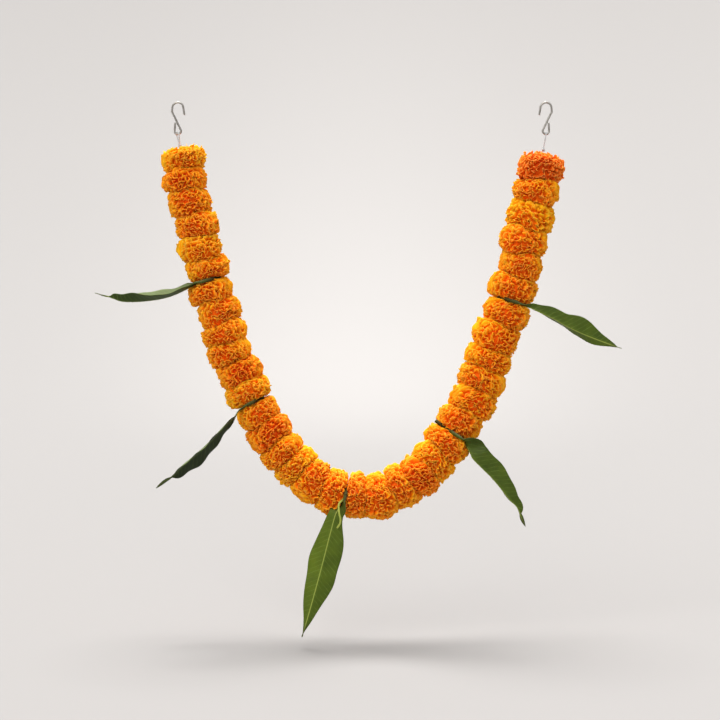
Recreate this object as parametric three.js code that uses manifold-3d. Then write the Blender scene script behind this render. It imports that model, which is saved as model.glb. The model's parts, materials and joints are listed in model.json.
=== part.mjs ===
// Marigold garland with mango leaves, hung by two wire S-hooks.
// Thirty-six marigold heads are threaded on one cotton string in six runs of six, packed so tightly that
// each head is squeezed into a cushion. A mango leaf is pierced at its base and trapped between each two
// runs. The string ends in a loop through the eye of an S-hook at each side, and hangs in a catenary.
//
// Millimetres, +Z up. X runs from the left hook to the right one, and the flowers face -Y.
// The origin is the seat of the left hook: the flat under its bow, which lies on the nail.
import * as THREE from 'three';
import { ConvexHull } from 'three/addons/math/ConvexHull.js';
import { mergeVertices } from 'three/addons/utils/BufferGeometryUtils.js';
import Module from 'manifold-3d';

const wasm = await Module();
wasm.setup();

// ---------------------------------------------------------------- driving dimensions
const stringBend = 82.8; // the catenary's parameter, which is its radius of bend at the lowest point
const leftReach = 459; // along the string, from its lowest point to the top of the first head
const runLengths = [148, 139, 145, 143, 155, 167]; // the six runs, from the left hook to the right one
const headsInRun = 6;
// Thicknesses of the heads in the first and the last run, as parts of the run; the other runs' are drawn.
const plainHeads = { 0: [26, 21.5, 28.5, 23.5, 25.5, 23], 5: [26.5, 25, 26.5, 31.5, 23.5, 34] };
const leafGap = 3.4; // between two runs, where a leaf is trapped
const headGap = 0.5; // between two heads
const stringRadius = 0.75;
const threadingClearance = 0.4; // round the string in its holes

const headRadius = { first: 25.5, last: 27.8 }; // across the string, from the left end to the right one
const wireRadius = 1.1;
const hookReach = 474; // along the string, from its lowest point to the wire in each hook's eye

// ---------------------------------------------------------------- shared tools
// Seeded draws, so that the garland is the same each time.
function draws(seed) {
  let state = seed >>> 0;
  return () => {
    state = (state + 0x6d2b79f5) >>> 0;
    let mixed = Math.imul(state ^ (state >>> 15), state | 1);
    mixed ^= mixed + Math.imul(mixed ^ (mixed >>> 7), mixed | 61);
    return ((mixed ^ (mixed >>> 14)) >>> 0) / 2 ** 32;
  };
}

const radians = THREE.MathUtils.degToRad;
const lerp = THREE.MathUtils.lerp;

// A closed surface as a solid that can be cut and joined.
function solidOf(geometry) {
  const bare = geometry.clone();
  bare.deleteAttribute('normal');
  bare.deleteAttribute('uv');
  const merged = mergeVertices(bare, 1e-4);
  return new wasm.Manifold(new wasm.Mesh({
    numProp: 3,
    vertProperties: merged.attributes.position.array,
    triVerts: new Uint32Array(merged.index.array),
  }));
}

function geometryOf(solid) {
  const mesh = solid.getMesh();
  const geometry = new THREE.BufferGeometry();
  geometry.setAttribute('position', new THREE.BufferAttribute(mesh.vertProperties, 3));
  geometry.setIndex(new THREE.BufferAttribute(mesh.triVerts, 1));
  geometry.computeVertexNormals();
  return geometry;
}

// A route that passes exactly through its listed points, with one step of an extrusion to each.
class Route extends THREE.Curve {
  constructor(points) {
    super();
    this.points = points;
  }

  getPoint(t, target = new THREE.Vector3()) {
    const place = t * (this.points.length - 1);
    const before = Math.min(Math.floor(place), this.points.length - 2);
    return target.lerpVectors(this.points[before], this.points[before + 1], place - before);
  }

  getUtoTmapping(u) {
    return u;
  }
}

function tube(points, radius, sides) {
  const corners = Array.from({ length: sides }, (_, k) => {
    const turn = ((k + 0.5) * 2 * Math.PI) / sides;
    return new THREE.Vector2(radius * Math.cos(turn), radius * Math.sin(turn));
  });
  return new THREE.ExtrudeGeometry(new THREE.Shape(corners), {
    steps: points.length - 1,
    bevelEnabled: false,
    extrudePath: new Route(points),
  });
}

// ---------------------------------------------------------------- the string's line
// A point beside the string: reach is the length along it from its lowest point, out is away from the
// middle of the garland, and back is towards +Y. The zero here is the string's lowest point.
function beside(reach, out = 0, back = 0) {
  const rise = Math.hypot(stringBend, reach);
  return new THREE.Vector3(
    stringBend * Math.asinh(reach / stringBend) + (out * reach) / rise,
    back,
    rise - stringBend - (out * stringBend) / rise,
  );
}

// ---------------------------------------------------------------- marigold heads
// A head is a dome of ruffled petals in layers round its crown, squeezed flat where it meets its neighbours.
// Each petal ends in a blunt lip, with a notch to the next petal and a hollow behind it. The last layer closes
// on the green cup at the back.
const petalLayers = [
  { angle: 20, petals: 5 }, // degrees from the crown to the layer's lips
  { angle: 46, petals: 8 },
  { angle: 74, petals: 10 },
  { angle: 102, petals: 9 },
  { angle: 132, petals: 6 },
];
const depth = { crown: 0.86, lip: 1, notch: 0.87, hollow: 0.81, cup: 0.84 }; // shares of the head's size
const lipHalf = 0.29; // half a lip's width as a share of the petals' spacing
const hollowBehind = 6; // degrees
const ragged = 0.09; // how far the petals differ in length
const squareness = 4; // 2 would leave the head an ellipsoid, and more turns it into a cushion
const squeeze = 1.2; // its thickness before its neighbours flatten it

// The petals' outline as directions from the head's middle, each with its share of the head's size.
function petalPoints(next) {
  const points = [
    { angle: 0, spin: 0, share: depth.crown },
    { angle: 180, spin: 0, share: depth.cup },
  ];
  for (const { angle, petals } of petalLayers) {
    const spacing = 360 / petals;
    const start = 360 * next();
    for (let k = 0; k < petals; k++) {
      const spin = start + spacing * (k + 0.25 * (next() - 0.5));
      const lip = depth.lip - ragged * next();
      const notch = depth.notch - 0.3 * ragged * next();
      const tipped = angle + 7 * (next() - 0.5);
      points.push({ angle: tipped, spin: spin - lipHalf * spacing, share: lip });
      points.push({ angle: tipped, spin: spin + lipHalf * spacing, share: lip - 0.3 * ragged * next() });
      points.push({ angle: angle + 2, spin: spin + spacing / 2, share: notch });
      points.push({ angle: angle + hollowBehind, spin, share: depth.hollow });
    }
  }
  return points;
}

// The triangles that join directions all round, as a hull of them does, three corners each.
function facesRound(directions) {
  const order = new Map(directions.map((direction, k) => [direction, k]));
  return new ConvexHull().setFromPoints(directions).faces.flatMap(({ edge }) =>
    [edge, edge.next, edge.prev].map((side) => order.get(side.head().point)));
}

// In directions, x is along the string, y away from the middle and z back. The crown faces the front,
// turned outwards by crownTurn and tipped along the string by crownTip.
function headShell({ from, to, radius, crownTurn, crownTip, shift, next }) {
  const crown = new THREE.Vector3(Math.sin(crownTip), Math.sin(crownTurn), -Math.cos(crownTurn));
  crown.normalize();
  const sideways = new THREE.Vector3(1, 0, 0).cross(crown).normalize();
  const along = crown.clone().cross(sideways);
  const petals = petalPoints(next);
  const directions = petals.map(({ angle, spin }) => {
    const outward = Math.sin(radians(angle));
    return crown.clone().multiplyScalar(Math.cos(radians(angle)))
      .addScaledVector(sideways, outward * Math.cos(radians(spin)))
      .addScaledVector(along, outward * Math.sin(radians(spin)));
  });
  const half = (to - from) / 2;
  const points = directions.map(({ x, y, z }, k) => {
    const rounded = Math.abs(x) ** squareness + Math.hypot(y, z) ** squareness;
    const size = petals[k].share * rounded ** (-1 / squareness);
    const pressed = THREE.MathUtils.clamp(squeeze * size * x, -1, 1);
    return beside(from + half + half * pressed, shift + radius * size * y, radius * size * z);
  });
  const geometry = new THREE.BufferGeometry().setFromPoints(points);
  geometry.setIndex(facesRound(directions));
  return geometry;
}

// The six runs, each squeezed into its own length by heads of slightly different thickness.
function threadedHeads() {
  const next = draws(36);
  const heads = [];
  const gaps = []; // where each leaf lies, along the string
  let reach = -leftReach;
  for (const [run, length] of runLengths.entries()) {
    const drawn = Array.from({ length: headsInRun }, () => 1 + 0.22 * (next() - 0.5));
    const shares = plainHeads[run] ?? drawn;
    const total = shares.reduce((sum, share) => sum + share, 0);
    for (const share of shares) {
      const thickness = (length * share) / total;
      const order = heads.length / (headsInRun * runLengths.length - 1);
      const away = reach / leftReach;
      heads.push({
        from: reach + headGap / 2,
        to: reach + thickness - headGap / 2,
        radius: lerp(headRadius.first, headRadius.last, order) * (1 + 0.1 * (next() - 0.5)),
        crownTurn: radians(14 + 14 * away + 50 * (next() - 0.5)),
        crownTip: radians(30 * (next() - 0.5)),
        shift: 4 * (next() - 0.5),
        next,
      });
      reach += thickness;
    }
    if (run + 1 < runLengths.length) {
      gaps.push(reach + leafGap / 2);
      reach += leafGap;
    }
  }
  return { heads, gaps, rightReach: reach };
}

// ---------------------------------------------------------------- string
// The main string runs down the middle of every head. At each end it is knotted against the last head, and its
// end makes a loop over the wire in the hook's eye.
const knotRadius = 1.7;
const stringSteps = 44;
const stringSides = 6;

function stringRoute(from, to) {
  return Array.from({ length: stringSteps + 1 }, (_, k) => beside(lerp(from, to, k / stringSteps)));
}

// The loop from a knot over the wire and back. turn swings the loop's plane from straight across the hook.
function endLoop(knot, wire, radius, turn) {
  const up = wire.clone().sub(knot).normalize();
  const across = new THREE.Vector3(0, 1, 0).applyAxisAngle(up, turn);
  const steps = 5;
  const over = Array.from({ length: steps + 1 }, (_, k) => {
    const angle = (Math.PI * k) / steps;
    return wire.clone()
      .addScaledVector(across, radius * Math.cos(angle))
      .addScaledVector(up, radius * Math.sin(angle));
  });
  return solidOf(tube([knot, ...over, knot], stringRadius, stringSides));
}

function stringSolid(knots, wires) {
  let solid = solidOf(tube(stringRoute(knots.left, knots.right), stringRadius, stringSides));
  const ends = [
    { knot: beside(knots.left), wire: wires.left, radius: 2.7, turn: radians(32) },
    { knot: beside(knots.right), wire: wires.right, radius: 2.2, turn: 0 },
  ];
  for (const { knot, wire, radius, turn } of ends) {
    const ball = new THREE.IcosahedronGeometry(knotRadius, 1).translate(knot.x, knot.y, knot.z);
    solid = solid.add(endLoop(knot, wire, radius, turn)).add(solidOf(ball));
  }
  return solid;
}

// ---------------------------------------------------------------- mango leaves
// A leaf is a lance-shaped blade on a short stalk, trough-shaped along its midrib, with gently waved margins.
// Its base is folded double and lies flat between two heads, where the string pierces it near its back edge,
// and narrows to a neck at the heads' rim.
// The points of a spine or stalk are [out, along, back] from the string in the gap: out from the garland,
// along the string towards the right hook, and back towards +Y. roll turns the blade from lying across the
// string, 0, to facing the front, 90 degrees, and trough folds up its halves: both at the base, halfway and at
// the tip. wide is its width as a share of the largest blade's, belly is where along it it is widest, full how
// blunt its ends are, and sides are its two halves' widths. The fold opens between two distances from the
// string, opens. tail is the thin end's length and half width, and twist its turn. wave and ripple are the
// height of the margins' waves, in mm and as a share of the width, and phase is where the ripple starts.
const bladeHalf = 19; // half the greatest width of the largest blade
const bladeThickness = 1;
const baseHalf = 13; // half the folded base's width
const baseThickness = 2;
const stalkHalf = 1.3;
const waveLength = 27;
const rippleLength = 50;
const leafRows = 22;
const bladeColumns = [-1, -0.5, 0, 0.5, 1]; // from one margin over the midrib to the other

const leaves = [
  {
    name: 'mango_leaf_1',
    spine: [[-14, 0, -12], [0, 0, -10.5], [15, 0.5, -12], [26, 3.4, -14], [44, 6.4, -17], [62, 5.8, -18],
      [88, 1, -18], [98.6, -2.7, -19], [107, -8.6, -20], [123, -18.3, -23]],
    roll: [0, 16, -34],
    trough: [-28, -38, -52],
    wide: 0.7,
    belly: 0.62,
    full: 0.42,
    neck: 9,
    opens: [12, 26],
    tail: [17, 0.6],
    wave: 0.5,
    ripple: 0.06,
  },
  {
    name: 'mango_leaf_2',
    spine: [[-14, 0, -12], [0, 0, -10.5], [9, 0.2, -13], [17, 1.6, -19], [23.5, 5.5, -23], [33.6, 8, -25],
      [47, 12.9, -24], [62, 18.4, -22], [76, 22.5, -21], [86, 25, -21], [99, 28, -21], [113, 33, -22],
      [125, 34.8, -22], [135, 37, -22]],
    roll: [0, -20, -24],
    trough: [12, 21, 24],
    wide: 0.84,
    belly: 0.72,
    full: 0.4,
    neck: 3,
    opens: [18, 34],
    tail: [22, 1.8],
    twist: -60,
    wave: 0.9,
    ripple: 0.05,
    phase: 1,
  },
  {
    name: 'mango_leaf_3',
    spine: [[-12, 0, -12], [0, 0, -10.5], [10, -0.4, -14], [21, -3.6, -19], [41, -6.3, -17],
      [73, -7.6, -13], [107, -9, -10], [136, -10.5, -7], [163, -12.3, -4]],
    roll: [0, 82, 86],
    trough: [0, 10, 6],
    wide: 0.92,
    belly: 0.44,
    full: 1.2,
    neck: 8,
    opens: [16, 30],
    tail: [9, 1.3],
    wave: 0.9,
    ripple: 0.07,
    phase: -1.8,
    sides: [1.1, 0.9],
    stalk: [[4, 0, -22], [10, -1.6, -25.5], [15.5, -2.6, -27], [20.6, -1.7, -27.5], [26.2, 0.7, -27],
      [31, 1.1, -26], [35.8, -0.6, -23.5]],
  },
  {
    name: 'mango_leaf_4',
    spine: [[-25, 0.8, -12], [-12, 0, -11], [0, 0, -10.5], [13, -0.8, -12], [22, -2.9, -16],
      [31.4, -11.4, -19], [46.7, -15.2, -18], [62, -18.4, -17], [78, -23.5, -16], [91.6, -28, -15],
      [101, -30, -14], [110, -35.7, -13], [121, -43, -12]],
    roll: [0, 46, 46],
    trough: [46, 46, 40],
    wide: 1,
    belly: 0.27,
    full: 0.5,
    neck: 8,
    opens: [16, 30],
    tail: [21, 2.5],
    twist: 25,
    wave: 0.6,
    ripple: 0.04,
  },
  {
    name: 'mango_leaf_5',
    spine: [[-14, 0, -12], [0, 0, -10.5], [14, -0.4, -12], [26, -1.6, -15], [37.5, -3.6, -17],
      [54, -6.3, -17], [64, -9, -17], [76, -11.3, -17], [88, -13, -16], [102, -14.4, -15],
      [126, -16.2, -13], [132.5, -16.4, -12]],
    roll: [0, 50, 92],
    trough: [44, 40, 6],
    wide: 0.78,
    belly: 0.53,
    full: 1,
    neck: 6,
    opens: [15, 30],
    tail: [4, 0.5],
    wave: 0.5,
    ripple: 0.13,
    phase: -0.8,
    sides: [1.02, 0.68],
  },
];

// Half the leaf's width at a distance from its stalk's end, with the string at a given distance.
function leafHalfWidth(distance, atString, length, { wide, belly, full, neck, tail }) {
  const { smoothstep, clamp } = THREE.MathUtils;
  const base = distance < atString
    ? lerp(stalkHalf, baseHalf, smoothstep(distance, atString - 10, atString - 3))
    : lerp(baseHalf, neck, smoothstep(distance, atString + 5, atString + 20));
  const share = clamp((distance - atString - 16) / (length - atString - tail[0] - 16), 0, 1);
  const lance = Math.max(0, Math.sin(Math.PI * share ** (Math.log(0.5) / Math.log(belly)))) ** full;
  const inTail = clamp((distance - length + tail[0]) / tail[0], 0, 1);
  const end = inTail > 0 ? tail[1] * Math.max(0, Math.sin(Math.PI * (0.12 + 0.88 * inTail))) ** 0.6 : 0;
  return Math.max(Math.hypot(base * (1 - share) ** 3, bladeHalf * wide * lance), 0.5, end);
}

const threeStage = ([base, half, tip], share) =>
  (share < 0.5 ? lerp(base, half, share * 2) : lerp(half, tip, share * 2 - 1));

function leafSolid(leaf, gap) {
  const { smoothstep } = THREE.MathUtils;
  const root = beside(gap);
  const out = beside(gap, 1).sub(root);
  const along = new THREE.Vector3(-out.z, 0, out.x); // towards the right hook
  const back = new THREE.Vector3(0, 1, 0);
  const placed = (points) => points.map((point) => root.clone()
    .addScaledVector(out, point[0]).addScaledVector(along, point[1]).addScaledVector(back, point[2]));
  const curve = new THREE.CatmullRomCurve3(placed(leaf.spine));
  const length = curve.getLength();
  const atString = -leaf.spine[0][0];
  const upper = [];
  const lower = [];
  for (let row = 0; row <= leafRows; row++) {
    const u = (row / leafRows) ** 1.15;
    const distance = u * length;
    const centre = curve.getPointAt(u);
    const forward = curve.getTangentAt(u);
    const flat = back.clone().addScaledVector(forward, -back.dot(forward)).normalize();
    const opened = smoothstep(distance, atString + leaf.opens[0], atString + leaf.opens[1]);
    const inTail = smoothstep(distance, length - leaf.tail[0] - 3, length - 0.6 * leaf.tail[0]);
    const share = Math.max(0, (distance - atString) / (length - atString));
    const turned = threeStage(leaf.roll, Math.max(share, 0.5 * opened));
    const rolled = radians(opened * turned + (leaf.twist ?? 0) * inTail);
    const side = flat.clone().applyAxisAngle(forward, -rolled);
    const face = forward.clone().cross(side);
    const fold = radians(opened * threeStage(leaf.trough, share)) * (1 - inTail);
    const widest = leafHalfWidth(distance, atString, length, leaf);
    const single = smoothstep(distance, atString + 6, atString + 22);
    const thickness = lerp(baseThickness, bladeThickness, single);
    for (const [list, sign] of [[upper, 1], [lower, -1]]) {
      list.push(bladeColumns.map((v) => {
        const ripple = leaf.ripple * Math.sin(
          (2 * Math.PI * distance) / rippleLength + (leaf.phase ?? 0) + (v < 0 ? 2.4 : 0));
        const half = widest * lerp(1, (leaf.sides ?? [1, 1])[v < 0 ? 0 : 1], opened) * (1 + opened * ripple);
        const wave = Math.sin((2 * Math.PI * distance) / waveLength + (v < 0 ? 0 : 2));
        const lift = half * Math.abs(v) * Math.sin(fold) + opened * leaf.wave * v * v * wave;
        return centre.clone().addScaledVector(side, half * v * Math.cos(fold))
          .addScaledVector(face, lift + (sign * thickness) / 2);
      }));
    }
  }
  const blade = solidOf(bladeGeometry(upper, lower));
  if (!leaf.stalk) return blade;
  const stalk = new THREE.CatmullRomCurve3(placed(leaf.stalk)).getSpacedPoints(8);
  return blade.add(solidOf(tube(stalk, 0.8 * stalkHalf, 6)));
}

// Two sheets of equal rows, split into triangles alike, and the rim between them.
function bladeGeometry(upper, lower) {
  const columns = upper[0].length;
  const points = [...upper.flat(), ...lower.flat()];
  const sheet = upper.length * columns;
  const top = (row, column) => row * columns + column;
  const under = (row, column) => sheet + top(row, column);
  const edge = columns - 1;
  const last = upper.length - 1;
  const faces = [];
  const quad = (a, b, c, d) => faces.push(a, b, c, a, c, d);
  for (let row = 0; row + 1 < upper.length; row++) {
    for (let column = 0; column + 1 < columns; column++) {
      quad(top(row, column), top(row + 1, column), top(row + 1, column + 1), top(row, column + 1));
      faces.push(under(row, column), under(row + 1, column + 1), under(row + 1, column));
      faces.push(under(row, column), under(row, column + 1), under(row + 1, column + 1));
    }
    quad(top(row, 0), under(row, 0), under(row + 1, 0), top(row + 1, 0));
    quad(top(row + 1, edge), under(row + 1, edge), under(row, edge), top(row, edge));
  }
  for (let column = 0; column + 1 < columns; column++) {
    quad(top(0, column + 1), under(0, column + 1), under(0, column), top(0, column));
    quad(top(last, column), under(last, column), under(last, column + 1), top(last, column + 1));
  }
  const geometry = new THREE.BufferGeometry().setFromPoints(points);
  geometry.setIndex(faces);
  return geometry;
}

// ---------------------------------------------------------------- S-hooks
// One length of bent wire: a bow open at one side, a sharp corner to a leaning shank and a smaller eye whose
// end stands beside it. The hook's own zero is its seat, the flat under the middle of the bow.
const bowRadius = 6;
const eyeRadius = 3.5;
const bowToEye = 25.5; // between the centres of the bow and the eye
const bowStep = 18; // degrees, and the seat is the middle step
const corner = { out: 6.5, down: 4 }; // where the bow meets the shank, from the bow's centre
const bowEnd = 8; // the straight ends of the wire
const eyeEnd = 8.5;
const eyeTurn = 176; // degrees from level, round the bottom of the eye to its straight end
const eyeLean = 0.07; // the end's lean towards the shank, as a share of its length
const eyeSteps = 9;
const wireSides = 8;
const wireFlat = wireRadius * Math.cos(Math.PI / wireSides); // from the wire's middle to its flats
const bowCentre = -(bowRadius - wireFlat) * Math.cos(radians(bowStep / 2));
const eyeCentre = bowCentre - bowToEye;

// The wire's line. open is 1 where the bow opens to the right, and -1 to the left.
function hookRoute(open) {
  const on = (centre, radius, degrees) => new THREE.Vector3(
    open * radius * Math.cos(radians(degrees)), 0, centre + radius * Math.sin(radians(degrees)));
  const drop = bowToEye - corner.down;
  const lean = THREE.MathUtils.radToDeg(
    Math.atan2(corner.out, drop) + Math.asin(eyeRadius / Math.hypot(corner.out, drop)));
  const bow = [];
  for (let degrees = bowStep / 2; degrees < 180; degrees += bowStep) {
    bow.push(on(bowCentre, bowRadius, degrees));
  }
  bow.push(new THREE.Vector3(-open * corner.out, 0, bowCentre - corner.down));
  const eye = Array.from({ length: eyeSteps + 1 }, (_, k) =>
    on(eyeCentre, eyeRadius, lerp(lean, -eyeTurn, k / eyeSteps)));
  const flare = radians(bowStep / 2);
  const bowTip = new THREE.Vector3(open * bowEnd * Math.sin(flare), 0, -bowEnd * Math.cos(flare)).add(bow[0]);
  const eyeTip = new THREE.Vector3(open * eyeLean * eyeEnd, 0, eyeEnd).add(eye[eyeSteps]);
  return [bowTip, ...bow, ...eye, eyeTip];
}

// ---------------------------------------------------------------- materials
const standard = (color, roughness, metalness) =>
  new THREE.MeshStandardMaterial({ color, roughness, metalness, flatShading: true });
const petals = {
  deep: standard(0xd9560a, 0.7, 0),
  orange: standard(0xf07c0c, 0.7, 0),
  amber: standard(0xf8990f, 0.7, 0),
};
const leafGreen = standard(0x3f6b23, 0.4, 0);
const cotton = standard(0xe8e4da, 0.85, 0);
const steel = standard(0x9b958b, 0.3, 1);

// The last head is the deepest, and a few others lean to deep or amber.
const deepHeads = [2, 11, 14, 22, 36];
const amberHeads = [1, 5, 12, 16, 23, 34];

function headMaterial(order) {
  if (deepHeads.includes(order)) return petals.deep;
  return amberHeads.includes(order) ? petals.amber : petals.orange;
}

// ---------------------------------------------------------------- assembly
const garland = new THREE.Group();

function piece(name, geometry, material) {
  const mesh = new THREE.Mesh(geometry, material);
  mesh.name = name;
  garland.add(mesh);
  return mesh;
}

const { heads, gaps, rightReach } = threadedHeads();
const knotBeyond = knotRadius + 0.3; // from the last head to its knot's middle
const knots = { left: -leftReach - knotBeyond, right: rightReach + knotBeyond };
const wires = { left: beside(-hookReach), right: beside(hookReach) };
// What the string needs through the heads and leaves, on the string's own line.
const threading = solidOf(tube(
  stringRoute(knots.left, knots.right), stringRadius + threadingClearance, stringSides));

heads.forEach((head, k) => {
  const number = k + 1;
  const threaded = solidOf(headShell(head)).subtract(threading);
  piece(`marigold_${String(number).padStart(2, '0')}`, geometryOf(threaded), headMaterial(number));
});
leaves.forEach((leaf, k) => {
  piece(leaf.name, geometryOf(leafSolid(leaf, gaps[k]).subtract(threading)), leafGreen);
});
piece('string', geometryOf(stringSolid(knots, wires)), cotton);

// Each hook hangs upright, with the string's loop over the wire in the bottom of its eye.
const seats = {};
for (const [name, open, wire] of [['left', 1, wires.left], ['right', -1, wires.right]]) {
  seats[name] = wire.clone().sub(new THREE.Vector3(0, 0, eyeCentre - eyeRadius));
  piece(`s_hook_${name}`, tube(hookRoute(open), wireRadius, wireSides), steel).position.copy(seats[name]);
}

// The whole garland is moved so that its origin is the left hook's seat.
garland.position.copy(seats.left).negate();
const part = new THREE.Group();
part.add(garland);

export default part;
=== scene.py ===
import json
import math
import random
from types import SimpleNamespace

import bmesh
import bpy
from mathutils import Matrix, Vector, noise


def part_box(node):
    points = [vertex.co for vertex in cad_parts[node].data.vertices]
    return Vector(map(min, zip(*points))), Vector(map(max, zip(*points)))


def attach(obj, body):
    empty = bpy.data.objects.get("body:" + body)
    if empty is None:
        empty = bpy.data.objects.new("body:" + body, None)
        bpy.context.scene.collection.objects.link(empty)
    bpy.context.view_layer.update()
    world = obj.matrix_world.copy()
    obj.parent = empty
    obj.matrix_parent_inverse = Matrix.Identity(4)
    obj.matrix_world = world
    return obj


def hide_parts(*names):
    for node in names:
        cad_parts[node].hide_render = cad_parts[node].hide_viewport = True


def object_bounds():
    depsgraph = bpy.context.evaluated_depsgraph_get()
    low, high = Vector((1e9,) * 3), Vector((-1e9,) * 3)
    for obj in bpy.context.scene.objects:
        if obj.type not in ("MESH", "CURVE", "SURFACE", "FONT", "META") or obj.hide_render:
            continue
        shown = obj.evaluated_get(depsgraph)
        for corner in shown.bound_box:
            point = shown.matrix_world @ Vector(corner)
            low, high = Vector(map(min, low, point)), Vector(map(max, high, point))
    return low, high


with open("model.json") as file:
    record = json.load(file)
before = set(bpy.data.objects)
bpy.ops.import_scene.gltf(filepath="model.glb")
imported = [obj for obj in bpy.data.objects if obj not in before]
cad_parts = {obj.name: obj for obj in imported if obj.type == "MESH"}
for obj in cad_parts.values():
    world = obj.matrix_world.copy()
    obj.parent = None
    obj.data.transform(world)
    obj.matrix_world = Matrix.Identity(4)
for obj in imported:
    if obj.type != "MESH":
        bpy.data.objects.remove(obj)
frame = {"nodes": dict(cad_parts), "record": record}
cad_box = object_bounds()
cad = frame["nodes"]

# ---------------------------------------------------------------------------------------- cotton string
# One length of white cotton thread, twisted from three strands, carries every head and leaf. It hangs in a
# catenary between the hooks, is knotted against the first head and the last one, and ends at each side in a
# loop over the wire in the hook's eye.
string_bend = 0.0828  # the catenary's parameter
string_radius, string_sides, string_steps = 0.00075, 10, 260
hook_reach = 0.474  # along the string, from its lowest point to the wire in each hook's eye
eye_drop = 0.0339  # from a hook's seat to the wire in the bottom of its eye
knot_gap = 0.002  # from the head to the knot's middle
knot_radius, knot_half_height, knot_sides = 0.0011, 0.0012, 8
knot_rise = 0.0002  # for each radian of its coil
knot_coil = [0.35 * k for k in range(37)]  # radians round it
left_loop_radius, right_loop_radius = 0.0027, 0.0022
left_loop_turn = math.radians(32)
loop_steps, leg_steps = 14, 6
end_rounding = (25, 50, 72, 90)  # degrees round the rounded end of a wire or thread
strands, strand_twist = 3, 2600  # the twist is in radians for each metre

left_seat, right_seat = (Vector(mount["pos_m"]) for mount in frame["record"]["mounts"])
string_sag = math.hypot(string_bend, hook_reach) - string_bend
string_low = (left_seat + right_seat) / 2 - Vector((0, 0, eye_drop + string_sag))


def beside(reach, out=0.0, back=0.0):
    """A point by the string: reach along it from its lowest point, out from the garland's middle, back."""
    rise = math.hypot(string_bend, reach)
    return string_low + Vector((
        string_bend * math.asinh(reach / string_bend) + out * reach / rise,
        back,
        rise - string_bend - out * string_bend / rise,
    ))


def unrolled(point):
    """How far along the string, out from it and back a point lies."""
    reach = string_bend * math.sinh((point.x - string_low.x) / string_bend)
    for _ in range(12):
        rise = math.hypot(string_bend, reach)
        away = point - beside(reach)
        out = (away.x * reach - away.z * string_bend) / rise
        ahead = (away.x * string_bend + away.z * reach) / rise
        reach += ahead / max(0.5, 1 + out * string_bend / rise**2)
    return Vector((reach, out, point.y))


def unrolled_box(node):
    """A CAD node's lowest and highest reach along the string, out from it and back."""
    places = [unrolled(corner.co) for corner in cad[node].data.vertices]
    return (Vector((min(place[k] for place in places) for k in range(3))),
            Vector((max(place[k] for place in places) for k in range(3))))


class Number:
    """A number in a material, so that its maths can be written as an expression."""

    def __init__(self, finish, socket):
        self.finish = finish
        self.socket = socket

    def maths(self, operation, *values, clamp=False):
        made = self.finish.node("ShaderNodeMath", {"operation": operation, "use_clamp": clamp},
                                dict(enumerate(values)))
        return Number(self.finish, made.outputs[0])

    def __add__(self, other):
        return self.maths("ADD", self, other)

    def __sub__(self, other):
        return self.maths("SUBTRACT", self, other)

    def __rsub__(self, other):
        return self.maths("SUBTRACT", other, self)

    def __mul__(self, other):
        return self.maths("MULTIPLY", self, other)

    def __pow__(self, other):
        return self.maths("POWER", self, other)

    def __abs__(self):
        return self.maths("ABSOLUTE", self)

    __radd__ = __add__
    __rmul__ = __mul__

    def sine(self):
        return self.maths("SINE", self)

    def fraction(self):
        return self.maths("FRACT", self)

    def held(self):
        """The number held between 0 and 1."""
        return self.maths("ADD", self, 0.0, clamp=True)


class Finish:
    """One finish: a material with its nodes. What is the same all over it is set on the shader itself."""

    def __init__(self, name, constants):
        self.material = bpy.data.materials.new(name)
        self.material.use_nodes = True
        self.tree = self.material.node_tree
        self.shader = self.tree.nodes["Principled BSDF"]
        for socket, value in constants.items():
            self.shader.inputs[socket].default_value = value

    def node(self, kind, settings, sockets):
        """A node of a kind with its settings, and the values or links of its sockets."""
        made = self.tree.nodes.new(kind)
        for name, value in settings.items():
            setattr(made, name, value)
        for socket, value in sockets.items():
            self.join(made.inputs[socket], value)
        return made

    def join(self, socket, value):
        if isinstance(value, Number):
            value = value.socket
        if isinstance(value, bpy.types.NodeSocket):
            self.tree.links.new(value, socket)
        else:
            socket.default_value = value

    def grain(self, scale, detail, place=None):
        """Cloudy noise from 0 to 1: scale is the number of grains in a metre, or in a unit of place."""
        place = place or self.node("ShaderNodeTexCoord", {}, {}).outputs["Object"]
        made = self.node("ShaderNodeTexNoise", {}, {"Vector": place, "Scale": scale, "Detail": detail})
        return Number(self, made.outputs["Fac"])

    def stretched(self, place, scales):
        """A place scaled unequally, so that the grain on it runs in streaks."""
        return self.node("ShaderNodeVectorMath", {"operation": "MULTIPLY"}, {0: place, 1: scales}).outputs[0]

    def blend(self, share, first, second):
        """The first colour where share is 0, and the second where it is 1."""
        made = self.node("ShaderNodeMix", {"data_type": "RGBA"}, {0: share, 6: first, 7: second})
        return made.outputs[2]

    def parts(self, vector):
        """A vector's three numbers."""
        made = self.node("ShaderNodeSeparateXYZ", {}, {0: vector})
        return [Number(self, output) for output in made.outputs]

    def bump(self, height, depth):
        made = self.node("ShaderNodeBump", {}, {"Height": height, "Distance": depth, "Strength": 1.0})
        self.join(self.shader.inputs["Normal"], made.outputs[0])

    def paint(self, colour, roughness=None):
        self.join(self.shader.inputs["Base Color"], colour)
        if roughness is not None:
            self.join(self.shader.inputs["Roughness"], roughness)


def as_piece(mesh, name, finish, replaced=()):
    """Ends a piece: its mesh becomes an object with its finish, which rides on the garland."""
    bmesh.ops.recalc_face_normals(mesh, faces=mesh.faces)
    data = bpy.data.meshes.new(name)
    mesh.to_mesh(data)
    mesh.free()
    data.materials.append(finish.material)
    for face in data.polygons:
        face.use_smooth = True
    piece = bpy.data.objects.new(name, data)
    bpy.context.scene.collection.objects.link(piece)
    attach(piece, "root")
    if replaced:
        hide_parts(*replaced)


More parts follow.
